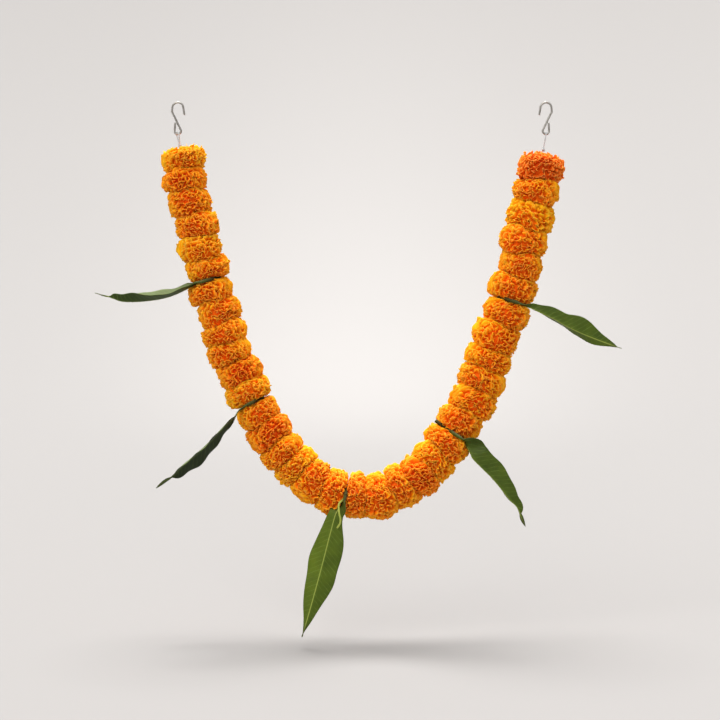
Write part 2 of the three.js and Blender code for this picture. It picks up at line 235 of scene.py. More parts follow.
def round_along(mesh, points, radius, sides):
    """Draws a round wire or thread through points, and rounds its two ends over."""
    wrap = mesh.loops.layers.uv.get("wrap") or mesh.loops.layers.uv.new("wrap")
    across = Vector((0, 1, 0.01))
    rings = []
    for k, point in enumerate(points):
        forward = (points[min(k + 1, len(points) - 1)] - points[max(k - 1, 0)]).normalized()
        across = (across - forward * across.dot(forward)).normalized()
        rings.append((point, forward, across.copy(), 1.0))
    for sign in (-1, 1):
        place, forward, side, _ = rings[0] if sign < 0 else rings[-1]
        for degrees in end_rounding:
            lift = sign * radius * math.sin(math.radians(degrees))
            ring = (place + forward * lift, forward, side, math.cos(math.radians(degrees)))
            rings.insert(0 if sign < 0 else len(rings), ring)
    # A flat grid is laid on the line: its x runs along it, and its y goes round.
    length = sum((b - a).length for a, b in zip(points, points[1:]))
    made = bmesh.ops.create_grid(mesh, x_segments=len(rings) - 1, y_segments=sides, size=1.0,
                                 calc_uvs=True)["verts"]
    for corner in made:
        for loop in corner.link_loops:
            loop[wrap].uv = ((corner.co.x + 1) / 2 * length, (corner.co.y + 1) / 2)
    for corner in made:
        point, forward, side, small = rings[round((corner.co.x + 1) / 2 * (len(rings) - 1))]
        turn = math.pi * (corner.co.y + 1)
        corner.co = point + radius * small * (
            side * math.cos(turn) + forward.cross(side) * math.sin(turn))
    bmesh.ops.remove_doubles(mesh, verts=made, dist=radius * 1e-3)


def end_loop(knot, wire, radius, turn):
    """The thread from a knot over the hook's wire and back to the knot."""
    rising = (wire - knot).normalized()
    across = Matrix.Rotation(turn, 3, rising) @ Vector((0, 1, 0))
    bends = [math.pi * k / loop_steps for k in range(loop_steps + 1)]
    over = [wire + radius * (across * math.cos(bend) + rising * math.sin(bend)) for bend in bends]
    shares = [k / leg_steps for k in range(1, leg_steps)]
    upwards = [knot.lerp(over[0], share) for share in shares]
    downwards = [over[-1].lerp(knot, share) for share in shares]
    return [knot, *upwards, *over, *downwards, knot]


def knot_line(knot):
    """The thread's coil round a knot."""
    return [knot + Vector((math.cos(turn) * knot_radius, math.sin(turn) * knot_radius,
                           knot_rise * turn - knot_half_height)) for turn in knot_coil]


cotton = Finish("twisted_cotton", {"Roughness": 0.85, "Sheen Weight": 0.3, "Specular IOR Level": 0.2})
thread_place = cotton.node("ShaderNodeUVMap", {"uv_map": "wrap"}, {}).outputs[0]
thread_along, thread_round, _ = cotton.parts(thread_place)
strand = abs((thread_along * strand_twist + thread_round * (strands * math.pi)).sine())
# Painted shade and light: the grooves between the strands are painted darker and their ridges paler.
cotton.paint(cotton.blend((strand ** 0.6) * 0.85 + cotton.grain(900, 2) * 0.15,
                          (0.36, 0.40, 0.40, 1), (0.60, 0.65, 0.67, 1)))
cotton.bump(strand, 0.0003)

first_knot = unrolled_box("marigold_01")[0].x - knot_gap
last_knot = unrolled_box("marigold_36")[1].x + knot_gap
thread = bmesh.new()
round_along(thread, [beside(first_knot + (last_knot - first_knot) * k / string_steps)
                     for k in range(string_steps + 1)], string_radius, string_sides)
for knot_reach, wire_reach, loop_radius, loop_turn in (
        (first_knot, -hook_reach, left_loop_radius, left_loop_turn),
        (last_knot, hook_reach, right_loop_radius, 0.0)):
    knot = beside(knot_reach)
    round_along(thread, end_loop(knot, beside(wire_reach), loop_radius, loop_turn), string_radius,
                string_sides)
    round_along(thread, knot_line(knot), string_radius, knot_sides)
as_piece(thread, "cotton_string", cotton, ["string"])

# --------------------------------------------------------------------------------------- marigold heads
# Each head is a full double marigold, pierced from side to side and pushed against the next one until it is a
# thick cushion. Hundreds of florets stand out of its middle: tight curled ones at the crown, frilled ones
# round them and broad smooth ones towards the back, where a green cup held them to the stalk.
head_count, heads_in_run = 36, 6  # a leaf follows each run but the last
deep_heads = (2, 11, 14, 22, 36)
amber_heads = (1, 5, 12, 16, 23, 34)
# How much redder some heads are than their kind, and, under 0, how much yellower. For heads 19 and 36 the
# deeper tone is partly painted shade, standing in for the shade on their lower sides.
redder_heads = {2: -0.15, 11: -0.1, 19: 0.15, 22: 0.1, 26: -0.15, 27: -0.1, 28: -0.2, 29: -0.1, 34: -0.15,
                36: 0.9}
head_squareness = 2.25  # 2 is an ellipsoid, and more has fuller shoulders
head_squeeze = 1.7  # its thickness before its neighbours press it flat, as a share of its CAD solid's
free_squeeze = 0.78  # the same at the garland's two ends, where nothing presses
pressed_from = 0.75  # the share of its half thickness where the pressing starts
room_beside_leaf, room_beside_head = 0.54, 0.46  # how far its pressed florets may still reach past that
core_share = 0.78  # how far out the florets are so dense that nothing shows between them
core_stretch = 1.25  # along the string
core_roughness, core_grain = 0.08, 5
core_tone = Vector((0, 0.25, 0.5))  # like a petal low down
root_share = core_share - 0.12
buried_from, buried_within = 0.97, 0.66  # shares of the half thickness and the radius between two heads
# How far the faces where two heads meet stray along the string.
seam_between_heads, seam_beside_leaf, seam_at_end = 0.0055, 0.0006, 0.002
seam_grain, seam_step = 42, 7.3  # the step keeps each face's pattern apart from the next one's
petal_thickness = 0.0004
longest_floret = 0.016
floret_seed = 400
# For each kind of floret: half its width, how far it is rolled up, the height and number of its frills, how
# far it may be turned on its root, its cells across and up, and its tone, from 0 (red) to 1 (yellow).
curled = {"half": 0.0027, "roll": 2.0, "frill": 0.0008, "frills": 1.1, "turn": 0.9, "cells": (4, 3),
          "tone": 0.27}
frilled = {"half": 0.0041, "roll": 1.5, "frill": 0.0013, "frills": 1.5, "turn": 0.65, "cells": (5, 3),
           "tone": 0.48}
broad = {"half": 0.0078, "roll": 0.8, "frill": 0.0010, "frills": 1.2, "turn": 0.4, "cells": (6, 4),
         "tone": 0.86}
# From the crown to the back: degrees from the crown, florets in the ring, their kind, and their lean in
# degrees at root and lip.
rings_of_florets = [
    (5, 3, curled, 0, 8), (13, 8, curled, 0, 12), (21, 14, curled, 4, 16), (29, 19, curled, 4, 20),
    (37, 23, curled, 6, 24), (46, 25, frilled, 6, 28), (55, 28, frilled, 8, 30), (64, 28, frilled, 8, 32),
    (74, 26, frilled, 10, 36), (84, 20, broad, 12, 40), (95, 18, broad, 14, 46), (107, 15, broad, 18, 54),
    (120, 12, broad, 26, 62), (135, 9, broad, 34, 70), (149, 7, broad, 30, 62),
]
# Half widths and heights of the green cup, from inside the florets to the snapped stalk's end.
cup_profile = [(0, 0), (0.0058, 0.0002), (0.0068, 0.0022), (0.0070, 0.0050), (0.0062, 0.0082),
               (0.0044, 0.0108), (0.0024, 0.0122), (0.0018, 0.0136), (0.0016, 0.0165), (0.0011, 0.0170),
               (0, 0.0171)]
cup_sides = 24
cup_ribs, cup_rib_depth = 8, 0.07
cup_proud = 0.004  # how far the snapped stalk stands out of the florets


def floret_blank(cells):
    """A small flat floret with two faces and a rim, from -1 to 1 across and from root to lip."""
    blank = bmesh.new()
    sheet = bmesh.ops.create_grid(blank, x_segments=cells[0], y_segments=cells[1], size=1.0)["verts"]
    faces = list({face for corner in sheet for face in corner.link_faces})
    bmesh.ops.solidify(blank, geom=faces, thickness=1.0)
    data = bpy.data.meshes.new("floret")
    blank.to_mesh(data)
    blank.free()
    return data


blanks = {kind["cells"]: floret_blank(kind["cells"]) for kind in (curled, frilled, broad)}


def cushion(direction):
    """How far out the cushion's surface is in a direction, for a head of size 1."""
    rounded = (abs(direction.x) ** head_squareness
               + math.hypot(direction.y, direction.z) ** head_squareness)
    return rounded ** (-1 / head_squareness)


def pressed(share, room):
    """Florets give way before they reach the neighbours' middle: what is past the limit is squeezed."""
    over = abs(share) - pressed_from
    if over <= 0:
        return share
    return math.copysign(pressed_from + room * (1 - math.exp(-over / room)), share)


def seam(number, out, back):
    """How far the face after a head strays: heads push into each other, but lie flat on leaves."""
    height = seam_between_heads
    if number in (0, head_count):
        height = seam_at_end
    elif number % heads_in_run == 0:
        height = seam_beside_leaf
    return height * noise.noise(Vector((out * seam_grain, back * seam_grain, number * seam_step)))


class Head:
    """One head in its CAD solid's place, with its crown turned to a direction [along, out, back]."""

    def __init__(self, number, crown):
        self.number = number
        self.crown = crown
        self.sideways = Vector((1, 0, 0)).cross(crown).normalized()
        self.upright = crown.cross(self.sideways)
        self.chance = random.Random(floret_seed + number)
        low, high = unrolled_box(f"marigold_{number:02d}")
        self.middle = (low + high) / 2
        self.half = (high.x - low.x) / 2
        self.radius = (high.y - low.y + high.z - low.z) / 4
        self.mesh = bmesh.new()
        # Each corner keeps its place across its floret and from root to lip, and the floret's tone.
        self.petal = self.mesh.verts.layers.float_vector.new("petal")

    def is_free(self, side):
        """Whether the side before (under 0) or after is an end of the garland."""
        return self.number == (1 if side < 0 else head_count)

    def is_open(self, side):
        """Whether that side is beside a leaf, or an end of the garland."""
        return self.number % heads_in_run == (1 if side < 0 else 0)

    def surface(self, direction, share):
        """A place in the head before it is pressed, at a share of the way out to its surface."""
        size = share * cushion(direction)
        squeeze = free_squeeze if self.is_free(direction.x) else head_squeeze
        return Vector((self.half * squeeze * size * direction.x, self.radius * size * direction.y,
                       self.radius * size * direction.z))

    def placed(self, spot):
        """Where a place in the head comes to lie, pressed between its neighbours on the string."""
        share = spot.x / self.half
        if not self.is_free(share):
            share = pressed(share, room_beside_leaf if self.is_open(share) else room_beside_head)
        strays = ((1 - share) * seam(self.number - 1, spot.y, spot.z)
                  + (1 + share) * seam(self.number, spot.y, spot.z)) / 2
        return beside(self.middle.x + self.half * share + strays, self.middle.y + spot.y,
                      self.middle.z + spot.z)

    def is_buried(self, spot):
        """Whether a place lies deep between this head and the next one."""
        return (abs(spot.x) > buried_from * self.half and not self.is_open(spot.x)
                and math.hypot(spot.y, spot.z) < buried_within * self.radius)

    def add_core(self):
        """The dense middle that closes the gaps between the florets."""
        for corner in bmesh.ops.create_icosphere(self.mesh, subdivisions=3, radius=1.0)["verts"]:
            direction = corner.co.normalized()
            rough = core_roughness * noise.noise(direction * core_grain)
            spot = self.surface(direction, core_share + rough)
            spot.x *= core_stretch
            corner.co = self.placed(spot)
            corner[self.petal] = core_tone

    def add_florets(self):
        """The rings of florets round the crown, but for those that would be buried."""
        for degrees, count, kind, root_lean, lip_lean in rings_of_florets:
            start = self.chance.uniform(0, 2 * math.pi)
            for k in range(count):
                spin = start + 2 * math.pi * (k + self.chance.uniform(-0.4, 0.4)) / count
                angle = math.radians(degrees + self.chance.uniform(-6, 6))
                outward = self.sideways * math.cos(spin) + self.upright * math.sin(spin)
                direction = self.crown * math.cos(angle) + outward * math.sin(angle)
                if not self.is_buried(self.surface(direction, 1)):
                    away = outward * math.cos(angle) - self.crown * math.sin(angle)
                    self.add_floret(kind, direction, away, root_lean, lip_lean)

    def add_floret(self, kind, direction, away, root_lean, lip_lean):
        """One floret, which stands out in a direction and leans away from the crown by degrees."""
        chance = self.chance
        grown_to = self.surface(direction, 1)
        grown = grown_to.normalized()
        away = (away - grown * away.dot(grown)).normalized()
        side = grown.cross(away)
        turn = chance.gauss(0, kind["turn"])
        away, side = (away * math.cos(turn) + side * math.sin(turn),
                      side * math.cos(turn) - away * math.sin(turn))
        root = self.surface(direction, root_share)
        lip = grown_to.length * chance.uniform(0.93, 1.05)
        lean_from = math.radians(root_lean + chance.gauss(0, 6))
        lean_to = math.radians(lip_lean + chance.gauss(0, 9))
        upward = max(0.45, math.cos((lean_from + lean_to) / 2))
        length = min(longest_floret, (lip - root.length) / upward)
        width = kind["half"] * chance.uniform(0.82, 1.2)
        roll = kind["roll"] * chance.uniform(0.7, 1.25)
        frill = kind["frill"] * chance.uniform(0.6, 1.3)
        phase = chance.uniform(0, 2 * math.pi)
        tone = kind["tone"] + chance.uniform(-0.3, 0.3) - redder_heads.get(self.number, 0)
        shallow = chance.uniform(-0.15, 0.3)

        # A flat blank is bent from root to lip, rolled and frilled across, and gets its thickness.
        before = len(self.mesh.verts)
        self.mesh.from_mesh(blanks[kind["cells"]])
        self.mesh.verts.ensure_lookup_table()
        for corner in self.mesh.verts[before:]:
            across, up, face = corner.co.x, (corner.co.y + 1) / 2, corner.co.z
            reach = length * up * (1 - 0.28 * across**2 * up)  # the lip is an arc
            bent = lean_from + (lean_to - lean_from) * up
            stem = grown * math.cos((lean_from + bent) / 2) + away * math.sin((lean_from + bent) / 2)
            facing = grown * math.sin(bent) - away * math.cos(bent)
            fan = width * (0.3 + 0.7 * min(1.0, up * 1.35) ** 0.8)
            curl = roll * (0.35 + 0.65 * up) / 2
            wide = fan * math.sin(curl * across) / curl
            deep = fan * (1 - math.cos(curl * across)) / curl
            wave = frill * up**2 * math.sin(kind["frills"] * math.pi * across + phase)
            thick = petal_thickness * abs(face)
            corner.co = self.placed(root + stem * (reach + shallow * wave) + side * wide
                                    + facing * (deep + wave - thick))
            corner[self.petal] = Vector((across, up, tone))

    def add_cup(self, cups):
        """The green cup, turned from its profile round the axis that the crown faces along."""
        heel = self.surface(-self.crown, 1)
        foot = heel.normalized() * (heel.length + cup_proud - cup_profile[-1][1])
        rim = [cups.verts.new(self.crown * -height + self.sideways * wide) for wide, height in cup_profile]
        line = [cups.edges.new(pair) for pair in zip(rim, rim[1:])]
        bmesh.ops.spin(cups, geom=rim + line, cent=(0, 0, 0), axis=self.crown, angle=2 * math.pi,
                       steps=cup_sides, use_merge=True)
        for corner in {corner for face in cups.faces for corner in face.verts if not corner.tag}:
            corner.tag = True  # so that the next head leaves it where it is
            height = -corner.co.dot(self.crown)
            away = corner.co + self.crown * height
            around = math.atan2(away.dot(self.upright), away.dot(self.sideways))
            ribbed = 1 + cup_rib_depth * math.cos(cup_ribs * around)
            corner.co = self.placed(foot + away * ribbed - self.crown * height)


def petal_finish(name, deep, middle, bright, edge):
    """Velvety petal: deep and red at the root, clear along the blade, with a painted highlight at the lip's
    edge.
    """
    made = Finish(name, {"Roughness": 0.62, "Specular IOR Level": 0.08, "Subsurface Weight": 0.2,
                         "Subsurface Scale": 0.003, "Subsurface Radius": (1.0, 0.35, 0.05)})
    place = made.node("ShaderNodeAttribute", {"attribute_name": "petal"}, {}).outputs["Vector"]
    _, up, tone = made.parts(place)
    clouds = made.grain(90, 2)
    streaks = made.grain(1.0, 2, made.stretched(place, (9.0, 1.2, 40.0)))
    brighter = ((up - 0.45) * 1.7 + (tone - 0.4) * 0.7 + (clouds - 0.5) * 0.6
                + (streaks - 0.5) * 0.25).held()
    lower = made.blend((brighter * 2).held(), deep, middle)
    upper = made.blend((brighter * 2 - 1).held(), lower, bright)
    # Painted highlight: the lip's edge is painted paler, more on the redder florets.
    lip_highlight = ((up - 0.86) * 4).held() * (0.8 - 0.6 * tone)
    made.paint(made.blend(lip_highlight, upper, edge), 0.55 + 0.2 * streaks)
    made.bump(streaks, 0.0002)
    return made


# The last colour of each finish is the painted highlight on the lips' edges.
petals = {
    "petals_deep": petal_finish("petal_deep_orange", (0.77, 0.104, 0.003, 1), (0.96, 0.188, 0.003, 1),
                                (1.0, 0.35, 0.006, 1), (1.0, 0.42, 0.08, 1)),
    "petals_orange": petal_finish("petal_orange", (0.89, 0.155, 0.003, 1), (0.99, 0.245, 0.003, 1),
                                  (1.0, 0.40, 0.005, 1), (1.0, 0.47, 0.095, 1)),
    "petals_amber": petal_finish("petal_amber", (0.92, 0.195, 0.003, 1), (1.0, 0.310, 0.003, 1),
                                 (1.0, 0.46, 0.005, 1), (1.0, 0.53, 0.10, 1)),
}

cups = bmesh.new()
for number in range(1, head_count + 1):
    node = f"marigold_{number:02d}"
    slot = "petals_orange"
    if number in deep_heads:
        slot = "petals_deep"
    elif number in amber_heads:
        slot = "petals_amber"
    # Crowns face the front and hang a little: down is along the string on the arms and out at the bend.
    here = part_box(node)
    reach = unrolled((here[0] + here[1]) / 2).x
    rise = math.hypot(string_bend, reach)
    down = Vector((-reach / rise, string_bend / rise, 0))
    chance = random.Random(number)
    crown = Vector((0, 0, -1)) + down * chance.uniform(0.45, 1.0) + Vector(
        (chance.gauss(0, 0.15), chance.gauss(0, 0.3), 0))
    head = Head(number, crown.normalized())
    head.add_core()
    head.add_florets()
    head.add_cup(cups)
    as_piece(head.mesh, f"bloom_{number:02d}", petals[slot], [node])

cup_green = Finish("flower_cup_green", {"Roughness": 0.6, "Specular IOR Level": 0.25})
cup_clouds, cup_grain = cup_green.grain(160, 3), cup_green.grain(900, 2)
cup_green.paint(cup_green.blend(cup_clouds * 0.8 + cup_grain * 0.3 - 0.05,
                                (0.075, 0.125, 0.018, 1), (0.24, 0.31, 0.06, 1)))
cup_green.bump(cup_grain, 0.0002)
bmesh.ops.remove_doubles(cups, verts=cups.verts, dist=1e-6)
as_piece(cups, "green_cups", cup_green)

# ---------------------------------------------------------------------------------------- mango leaves
# A fresh mango leaf is trapped between each two runs of heads. Its base is folded double and pierced by the
# string; outside the heads it opens into a lance-shaped, half-glossy blade with waved margins, a pale raised
# midrib and fine side veins, dark above and paler grey-green beneath.
blade_half, blade_thickness = 0.019, 0.0007
base_half, base_thickness = 0.013, 0.002
stalk_half, stalk_sides, stalk_steps = 0.0013, 12, 30
stalk_place = Vector((0, 0.05, 1))  # the free stalk has the green of a midrib
wave_length, ripple_length = 0.027, 0.050
rib_half, rib_above, rib_beneath = 0.0009, 0.0003, 0.0011
vein_height, vein_spacing, vein_slant = 0.00012, 0.0062, 0.75
blade_rows, blade_columns = 84, 20
curve_steps = 40  # between two points of a spine
# Along the blade, from the string: where the stalk has widened into the folded base, where that narrows to
# the neck, where it turns from double to single, and where the lance begins.
base_from, base_to = -0.010, -0.003
neck_from, neck_to = 0.005, 0.020
single_from, single_to = 0.006, 0.022
lance_from = 0.016
thinnest_half = 0.0004
# The blade darkens towards its tip, from the first distance before the tip to the second.
dark_tip_from, dark_tip_to = 0.020, 0.004  # from the tip
# Spines are in millimetres [out, along, back] from the string in the leaf's gap. Roll and trough are degrees
# at the base, halfway and at the tip; wide, belly, full and neck shape the blade's outline; opens is where
# the fold opens, from the string; tail is the thin end's length and half width, and twist is its turn. Wave
# and ripple are the margins' waves, in millimetres and as a share, and phase shifts the ripple; sides are the
# two halves' widths. Faces says which face is the dark upper one and which the pale lower one; over 1, it
# also paints shade on the upper face, darker still. Stalk is the line of a stalk that stands clear of its
# leaf.
mango_leaves = [
    {"spine": [(-14, 0, -12), (0, 0, -10.5), (15, .8, -12), (26, 3.4, -14), (44, 6.4, -17), (62, 5.8, -18),
               (88, 1, -18), (98.6, -2.7, -19), (107, -8.6, -20), (123, -18.3, -23)],
     "roll": (0, 16, -34), "trough": (-28, -38, -52), "wide": .7, "belly": .62, "full": .42, "neck": 9,
     "opens": (9, 23), "tail": (17, .6), "twist": 0, "wave": .5, "ripple": .06, "phase": 0,
     "sides": (1, 1), "faces": (0, 1.4)},
    {"spine": [(-14, 0, -12), (0, 0, -10.5), (9, .2, -13), (17, 1.6, -19), (23.5, 5.5, -23), (33.6, 8, -25),
               (47, 12.9, -24), (62, 18.4, -22), (76, 22.5, -21), (86, 25, -21), (99, 28, -21),
               (113, 33, -22), (125, 34.8, -22), (135, 37, -22)],
     "roll": (0, -20, -24), "trough": (12, 21, 24), "wide": .84, "belly": .72, "full": .4, "neck": 3,
     "opens": (18, 34), "tail": (22, 1.8), "twist": -60, "wave": .9, "ripple": .05, "phase": 1,
     "sides": (1, 1), "faces": (0, 1.9)},
    {"spine": [(-12, 0, -12), (0, 0, -10.5), (10, -1.2, -14), (21, -5.3, -19), (41, -6.6, -17),
               (73, -7.6, -13), (107, -9, -10), (136, -10.5, -7), (163, -12.3, -4)],
     "roll": (0, 82, 86), "trough": (0, 10, 6), "wide": .92, "belly": .44, "full": 1.08, "neck": 8.4,
     "opens": (8, 22), "tail": (3, .8), "twist": 0, "wave": .9, "ripple": .05, "phase": -3.3,
     "sides": (1.08, .92), "faces": (1, 0),
     "stalk": [(4, -1, -22), (10.4, -4.6, -25), (15.3, -3.6, -26.5), (20.6, -1.9, -27.5), (26.2, .7, -27),
               (31, 1.1, -26), (35.8, -.6, -23.5)]},
    {"spine": [(-25, .8, -12), (-12, 0, -11), (0, 0, -10.5), (13, -.8, -12), (22, -5.5, -16),
               (31.4, -11.4, -19), (46.7, -15.2, -18), (62, -18.4, -17), (78, -23.5, -16), (91.6, -28, -15),
               (101, -30, -14), (110, -35.7, -13), (121, -43, -12)],
     "roll": (0, 46, 46), "trough": (46, 46, 40), "wide": 1.0, "belly": .27, "full": .5, "neck": 8,
     "opens": (13, 26), "tail": (15, 2.2), "twist": 4, "wave": .6, "ripple": .02, "phase": 0,
     "sides": (1, 1), "faces": (1.15, 0)},
    {"spine": [(-14, 0, -12), (0, 0, -10.5), (14, -.4, -12), (26, -1.6, -15), (37.5, -3.6, -17),
               (54, -6.3, -17), (64, -9, -17), (76, -11.3, -17), (88, -13, -16), (102, -14.4, -15),
               (126, -16.2, -13), (132.5, -16.4, -12)],
     "roll": (0, 50, 92), "trough": (44, 40, 6), "wide": .78, "belly": .53, "full": 1.0, "neck": 6,
     "opens": (15, 30), "tail": (4, .5), "twist": 0, "wave": .5, "ripple": .13, "phase": -.8,
     "sides": (1.02, .68), "faces": (1.12, 0)},
]


def smooth_curve(points, steps):
    """Equally spaced places and directions on a smooth curve through points that lie unequally far apart."""
    knots = [2 * points[0] - points[1], *points, 2 * points[-1] - points[-2]]
    fine = []
    for before, start, end, after in zip(knots, knots[1:], knots[2:], knots[3:]):
        spans = ((before, start), (start, end), (end, after))
        first, second, third = ((b - a).length ** 0.5 for a, b in spans)
        leaving = ((start - before) / first - (end - before) / (first + second)
                   + (end - start) / second) * second
        coming = ((end - start) / second - (after - start) / (second + third)
                  + (after - end) / third) * second
        for t in (k / curve_steps for k in range(curve_steps)):
            fine.append(start * (2 * t**3 - 3 * t**2 + 1) + leaving * (t**3 - 2 * t**2 + t)
                        + end * (3 * t**2 - 2 * t**3) + coming * (t**3 - t**2))
    fine.append(points[-1])
    runs = [0.0]
    for a, b in zip(fine, fine[1:]):
        runs.append(runs[-1] + (b - a).length)
    found = []
    k = 0
    for step in range(steps + 1):
        aim = runs[-1] * step / steps
        while k + 2 < len(runs) and runs[k + 1] < aim:
            k += 1
        share = (aim - runs[k]) / (runs[k + 1] - runs[k])
        found.append((fine[k].lerp(fine[k + 1], share), (fine[k + 1] - fine[k]).normalized()))
    return found, runs[-1]


def held(value):
    """The value held between 0 and 1."""
    return max(0.0, min(1.0, value))


def eased(value, low, high):
    """From 0 at low to 1 at high, with an easy start and end."""
    share = held((value - low) / (high - low))
    return share * share * (3 - 2 * share)


def between(first, second, share):
    return first + (second - first) * share


def three_stage(stages, share):
    base, half, tip = stages
    return between(base, half, share * 2) if share < 0.5 else between(half, tip, share * 2 - 1)


class Leaf:
    """One leaf's form, from its stalk's end through the gap where it is trapped to its tip."""

    def __init__(self, form, gap):
        self.form = form
        self.root = beside(gap)
        self.out = (beside(gap, 0.001) - self.root) / 0.001
        self.spine, self.length = smooth_curve(self.from_string(form["spine"]), blade_rows)
        self.at_string = -form["spine"][0][0] / 1000
        self.tail, self.tail_half = (size / 1000 for size in form["tail"])

    def from_string(self, points):
        """The places of points that are given from the string."""
        along = Vector((-self.out.z, 0, self.out.x))
        return [self.root + (self.out * out + along * ahead + Vector((0, back, 0))) / 1000
                for out, ahead, back in points]

    def half_width(self, distance):
        """Half the blade's width at a distance from the stalk's end, before its sides and ripple."""
        if distance < self.at_string:
            base = between(stalk_half, base_half,
                           eased(distance, self.at_string + base_from, self.at_string + base_to))
        else:
            base = between(base_half, self.form["neck"] / 1000,
                           eased(distance, self.at_string + neck_from, self.at_string + neck_to))
        lance_starts = self.at_string + lance_from
        share = held((distance - lance_starts) / (self.length - self.tail - lance_starts))
        widest = math.log(0.5) / math.log(self.form["belly"])
        lance = max(0.0, math.sin(math.pi * share ** widest)) ** self.form["full"]
        blade = math.hypot(base * (1 - share) ** 3, blade_half * self.form["wide"] * lance)
        in_tail = held((distance - self.length + self.tail) / self.tail)
        end = 0.0
        if in_tail > 0:
            end = self.tail_half * max(0.0, math.sin(math.pi * (0.12 + 0.88 * in_tail))) ** 0.6
        return max(blade, thinnest_half, end)

    def row(self, k):
        """One row across the blade: its place, its directions, and how far the blade is open there."""
        centre, forward = self.spine[k]
        distance = self.length * k / blade_rows
        share = max(0.0, (distance - self.at_string) / (self.length - self.at_string))
        opens_from, opens_to = (self.at_string + limit / 1000 for limit in self.form["opens"])
        opened = eased(distance, opens_from, opens_to)
        in_tail = eased(distance, self.length - self.tail - 0.003, self.length - self.tail * 0.625)
        back = Vector((0, 1, 0))
        flat = (back - forward * back.dot(forward)).normalized()
        rolled = math.radians(opened * three_stage(self.form["roll"], max(share, 0.5 * opened))
                              + self.form["twist"] * in_tail)
        side = Matrix.Rotation(-rolled, 3, forward) @ flat
        return SimpleNamespace(
            centre=centre, side=side, face=forward.cross(side), distance=distance, share=share, opened=opened,
            fold=math.radians(opened * three_stage(self.form["trough"], share)) * (1 - in_tail),
            single=eased(distance, self.at_string + single_from, self.at_string + single_to),
            half=self.half_width(distance))

    def lay(self, row, across, upper):
        """A point of one face in a row, from -1 at one margin to 1 at the other, and how far out it is."""
        form, opened = self.form, row.opened
        left, off_rib = across < 0, abs(across)
        half = row.half * between(1, form["sides"][0 if left else 1], opened)
        half *= 1 + opened * form["ripple"] * math.sin(
            2 * math.pi * row.distance / ripple_length + form["phase"] + (2.4 if left else 0))
        folded = base_thickness * (1 + 0.9 * max(0.0, -across) ** 6)  # the folded midrib faces the front
        thick = between(folded * (1 - max(0.0, across) ** 8), blade_thickness * (1 - 0.45 * across**4),
                        row.single)
        rib = row.single * max(0.0, 1 - off_rib * half / rib_half) ** 0.5 * (1 - 0.75 * row.share)
        thick += rib * (rib_above if upper else rib_beneath)
        wave = math.sin(2 * math.pi * row.distance / wave_length + (0 if left else 2))
        slanted = row.distance - off_rib * half * vein_slant
        vein = vein_height * opened * math.sin(2 * math.pi * slanted / vein_spacing)
        lift = (half * off_rib * math.sin(row.fold) + opened * form["wave"] / 1000 * across**2 * wave
                + vein * (1 - rib) * (1 - off_rib ** 6))
        point = (row.centre + row.side * (half * across * math.cos(row.fold))
                 + row.face * (lift + (thick / 2 if upper else -thick / 2)))
        return point, across * half


def mango_leaf(form, gap):
    """A blade with its base in the gap, as a grid from stalk to tip and from margin to margin."""
    leaf = Leaf(form, gap)
    rows = [leaf.row(k) for k in range(blade_rows + 1)]
    blade = bmesh.new()
    place = blade.verts.layers.float_vector.new("blade")  # across and distance in metres, and which face
    tip = blade.verts.layers.float.new("tip")
    bmesh.ops.create_grid(blade, x_segments=blade_columns, y_segments=blade_rows, size=1.0)
    bmesh.ops.solidify(blade, geom=blade.faces[:], thickness=1.0)
    heights = [corner.co.z for corner in blade.verts]
    halfway = (min(heights) + max(heights)) / 2
    for corner in blade.verts:
        row = rows[round((corner.co.y + 1) / 2 * blade_rows)]
        upper = corner.co.z > halfway
        corner.co, off_middle = leaf.lay(row, corner.co.x, upper)
        corner[place] = Vector((off_middle, row.distance, form["faces"][1 if upper else 0]))
        corner[tip] = eased(row.distance, leaf.length - dark_tip_from, leaf.length - dark_tip_to)
    if "stalk" in form:
        stalk, _ = smooth_curve(leaf.from_string(form["stalk"]), stalk_steps)
        before = len(blade.verts)
        round_along(blade, [spot for spot, _ in stalk], 0.8 * stalk_half, stalk_sides)
        blade.verts.ensure_lookup_table()
        for corner in blade.verts[before:]:
            corner[place] = stalk_place
    return blade


leaf_green = Finish("mango_leaf_green", {"Specular IOR Level": 0.22, "Subsurface Weight": 0.05,
                                         "Subsurface Scale": 0.001})
blade_place = leaf_green.node("ShaderNodeAttribute", {"attribute_name": "blade"}, {}).outputs["Vector"]
tip_share = leaf_green.node("ShaderNodeAttribute", {"attribute_name": "tip"}, {}).outputs["Fac"]
blade_across, blade_along, blade_face = leaf_green.parts(blade_place)
off_rib = abs(blade_across)
rib = (1 - off_rib * 1700).held()
halo = (1 - off_rib * 320).held()
mottle = leaf_green.grain(55, 4)
fine_mottle = leaf_green.grain(420, 2)
patches = leaf_green.grain(120, 2)
slanted = blade_along - off_rib * vein_slant + (patches - 0.5) * 0.003
veins = (1 - abs((slanted * 175).fraction() - 0.5) * 9).held() * (patches * 3 - 1).held()
# Painted light: one half of each blade is painted a little lighter, as if the light fell more on it.
painted_lit_half = (blade_across * 200 + 0.5).held()
# Painted shade: a face over 1 is painted darker, for the leaves that hang in shade.
painted_face_shade = (blade_face - 1).held()
# Painted shade: near its base, down between the heads, the blade is painted dark brown.
painted_base_shade = (1.7 - blade_along * 48).held()

top_green = leaf_green.blend((mottle * 0.8 + painted_lit_half * 0.2 - 0.03 - painted_face_shade).held(),
                             (0.033, 0.061, 0.002, 1), (0.134, 0.194, 0.008, 1))
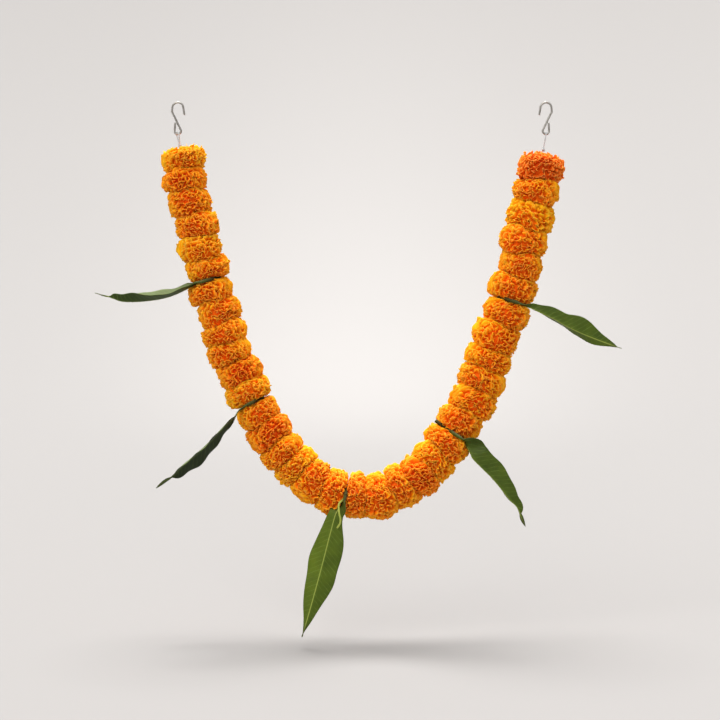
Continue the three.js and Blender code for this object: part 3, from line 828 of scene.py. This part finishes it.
# Painted shade on the upper faces of the leaves in shade.
top_green = leaf_green.blend(painted_face_shade, top_green, (0.010, 0.020, 0.003, 1))
top_green = leaf_green.blend((veins * (0.42 - 0.3 * painted_face_shade) + halo * 0.12).held(), top_green,
                             (0.20, 0.30, 0.05, 1))
top_green = leaf_green.blend((rib ** 0.5) * (0.8 - 0.75 * painted_face_shade), top_green, (0.42, 0.48, 0.09, 1))
under_green = leaf_green.blend(mottle, (0.11, 0.148, 0.055, 1), (0.18, 0.225, 0.095, 1))
under_green = leaf_green.blend((veins * 0.3 + rib * 0.7).held(), under_green, (0.26, 0.32, 0.11, 1))
blade_colour = leaf_green.blend((blade_face * 4 - 1.5).held(), under_green, top_green)
# Darker towards the tip.
blade_colour = leaf_green.blend(Number(leaf_green, tip_share) * 0.8, blade_colour, (0.040, 0.048, 0.012, 1))
# Painted shade towards the base, where it lies between the heads.
blade_colour = leaf_green.blend(painted_base_shade * 0.85, blade_colour, (0.048, 0.036, 0.007, 1))
leaf_green.paint(blade_colour, 0.64 - 0.16 * blade_face.held() + 0.12 * fine_mottle + 0.2 * painted_base_shade)
leaf_green.bump(fine_mottle * 0.5 - veins * 0.4, 0.00025)

for k, form in enumerate(mango_leaves, start=1):
    head_before = unrolled_box(f"marigold_{heads_in_run * k:02d}")
    head_after = unrolled_box(f"marigold_{heads_in_run * k + 1:02d}")
    gap = (head_before[1].x + head_after[0].x) / 2
    as_piece(mango_leaf(form, gap), f"green_leaf_{k}", leaf_green, [f"mango_leaf_{k}"])

# --------------------------------------------------------------------------------------------- S-hooks
# Each hook is one length of drawn steel wire, bent to a wide bow that opens at one side, a leaning shank and
# a smaller eye whose end stands up beside it. Its cut ends are rounded over.
wire_radius, wire_sides = 0.0011, 20
bow_radius, eye_radius = 0.0060, 0.0035
bow_to_eye = 0.0255
corner_out, corner_down = 0.0065, 0.0040  # where the bow meets the shank, from the bow's centre
bow_end, eye_end = 0.0080, 0.0085
bow_from, bow_to, eye_to = 9, 180, -176  # degrees round their middles
eye_lean = 0.07
bend_steps, end_steps = 36, 5
# The corner is bent a little round: the wire's places before it and after it, as shares of the way.
before_corner = [0.80, 0.87, 0.93, 0.975]
after_corner = [0.01, 0.025, 0.0425, 0.065, *(k / 10 for k in range(1, 10))]
bow_centre = -(bow_radius - wire_radius)
eye_centre = bow_centre - bow_to_eye


def hook_line(seat, opens):
    """The wire's line. opens is 1 where the bow opens to the right, and -1 to the left."""
    def on(centre, radius, degrees):
        turn = math.radians(degrees)
        return seat + Vector((opens * radius * math.cos(turn), 0, centre + radius * math.sin(turn)))

    drop = bow_to_eye - corner_down
    lean = math.degrees(math.atan2(corner_out, drop) + math.asin(eye_radius / math.hypot(corner_out, drop)))
    bends = [k / bend_steps for k in range(bend_steps + 1)]
    bow = [on(bow_centre, bow_radius, between(bow_from, bow_to, share)) for share in bends]
    eye = [on(eye_centre, eye_radius, between(lean, eye_to, share)) for share in bends]
    corner = seat + Vector((-opens * corner_out, 0, bow_centre - corner_down))
    flare = math.radians(bow_from)
    bow_tip = bow[0] + Vector((opens * bow_end * math.sin(flare), 0, -bow_end * math.cos(flare)))
    eye_tip = eye[-1] + Vector((opens * eye_lean * eye_end, 0, eye_end))
    line = [bow_tip.lerp(bow[0], k / end_steps) for k in range(end_steps)] + bow
    line += [bow[-1].lerp(corner, share) for share in before_corner]
    line += [corner.lerp(eye[0], share) for share in after_corner] + eye
    return line + [eye[-1].lerp(eye_tip, k / end_steps) for k in range(1, end_steps + 1)]


steel = Finish("drawn_steel_wire", {"Metallic": 1.0, "Specular IOR Level": 0.5})
wire_place = steel.node("ShaderNodeUVMap", {"uv_map": "wrap"}, {}).outputs[0]
draw_marks = steel.grain(1.0, 3, steel.stretched(wire_place, (60.0, 16.0, 1.0)))
tarnish = steel.grain(260, 3)
steel.paint(steel.blend((tarnish * 1.6 - 0.4).held(), (0.23, 0.215, 0.19, 1), (0.50, 0.485, 0.46, 1)),
            0.32 + 0.2 * draw_marks)
steel.bump(draw_marks, 0.00006)

for side, seat, opens in (("left", left_seat, 1), ("right", right_seat, -1)):
    wire = bmesh.new()
    round_along(wire, hook_line(seat, opens), wire_radius, wire_sides)
    as_piece(wire, f"wire_hook_{side}", steel, [f"s_hook_{side}"])

# ----------------------------------------------------------------------------------------------- stage
# A pale bowl of paper: a floor just under the longest leaf that slopes up a little to the back and is swept
# up all round into a wall. It is lit softly from above and in front, with a glow on the wall behind.
floor_level = cad_box[0].z - 0.010
flat_floor, bowl_radius, bowl_height = 1.8, 6.0, 3.4
bowl_rings, bowl_sides = 24, 96
floor_slope = math.radians(7)
room_strength, overhead_strength, key_strength, glow_power = 0.56, 5.3, 2.3, 85
glow_shape = (0.24, 1, 1)  # its pool on the wall is taller than it is wide
lens_length, sensor_width = 135, 36
view_width = 0.792  # what the camera sees at the garland
view_middle = (0.2004, -0.2822)

bowl = bmesh.new()
profile = [bowl.verts.new((0, 0, 0))]
for k in range(bowl_rings + 1):
    turn = math.pi / 2 * k / bowl_rings
    profile.append(bowl.verts.new((flat_floor + (bowl_radius - flat_floor) * math.sin(turn), 0,
                                   bowl_height * (1 - math.cos(turn)))))
lines = [bowl.edges.new(pair) for pair in zip(profile, profile[1:])]
bmesh.ops.spin(bowl, geom=profile + lines, cent=(0, 0, 0), axis=(0, 0, 1), angle=2 * math.pi,
               steps=bowl_sides, use_merge=True)
bmesh.ops.remove_doubles(bowl, verts=bowl.verts, dist=1e-5)
bmesh.ops.rotate(bowl, verts=bowl.verts, cent=(0, 0, 0), matrix=Matrix.Rotation(floor_slope, 3, "X"))
bmesh.ops.translate(bowl, verts=bowl.verts, vec=(string_low.x, 0, floor_level))
bmesh.ops.recalc_face_normals(bowl, faces=bowl.faces)
bowl_data = bpy.data.meshes.new("paper_bowl")
bowl.to_mesh(bowl_data)
bowl.free()
for face in bowl_data.polygons:
    face.use_smooth = True
paper = Finish("pale_paper", {"Base Color": (0.302, 0.293, 0.288, 1), "Roughness": 0.9,
                              "Specular IOR Level": 0.1})
bowl_data.materials.append(paper.material)
backdrop = bpy.data.objects.new("paper_bowl", bowl_data)
bpy.context.scene.collection.objects.link(backdrop)

world = bpy.data.worlds.new("soft_room")
world.use_nodes = True
room_light = world.node_tree.nodes["Background"].inputs
room_light["Color"].default_value = (1.0, 0.99, 0.98, 1)
room_light["Strength"].default_value = room_strength
bpy.context.scene.world = world


def soft_light(name, kind, place, target, strength, colour, settings):
    """A lamp at a place that shines at a target."""
    lamp = bpy.data.lights.new(name, kind)
    lamp.energy = strength
    lamp.color = colour
    for setting, value in settings.items():
        setattr(lamp, setting, value)
    holder = bpy.data.objects.new(name, lamp)
    holder.location = place
    holder.rotation_euler = (Vector(target) - Vector(place)).to_track_quat("-Z", "Y").to_euler()
    bpy.context.scene.collection.objects.link(holder)
    return holder


garland_middle = (string_low.x, 0, -0.28)
soft_light("overhead", "SUN", (string_low.x - 0.1, 0.25, 2), garland_middle, overhead_strength,
           (1, 0.99, 0.98), {"angle": math.radians(33)})
soft_light("key", "SUN", (string_low.x - 1.2, -2.4, 1.4), garland_middle, key_strength,
           (1, 0.98, 0.95), {"angle": math.radians(50)})
glow = soft_light("glow", "SPOT", (string_low.x, 1.4, 1.3), (string_low.x, 3.0, -0.6), glow_power,
                  (1, 0.99, 0.97), {"spot_size": math.radians(106), "spot_blend": 1.0,
                                    "shadow_soft_size": 0.3})
glow.scale = glow_shape

lens = bpy.data.cameras.new("camera")
lens.lens = lens_length
lens.sensor_width = sensor_width
lens.clip_end = 100
camera = bpy.data.objects.new("camera", lens)
camera.location = (view_middle[0], -view_width * lens_length / sensor_width, view_middle[1])
camera.rotation_euler = (math.radians(90), 0, 0)
bpy.context.scene.collection.objects.link(camera)
bpy.context.scene.camera = camera
bpy.context.scene.view_settings.view_transform = "Standard"

bpy.context.view_layer.update()
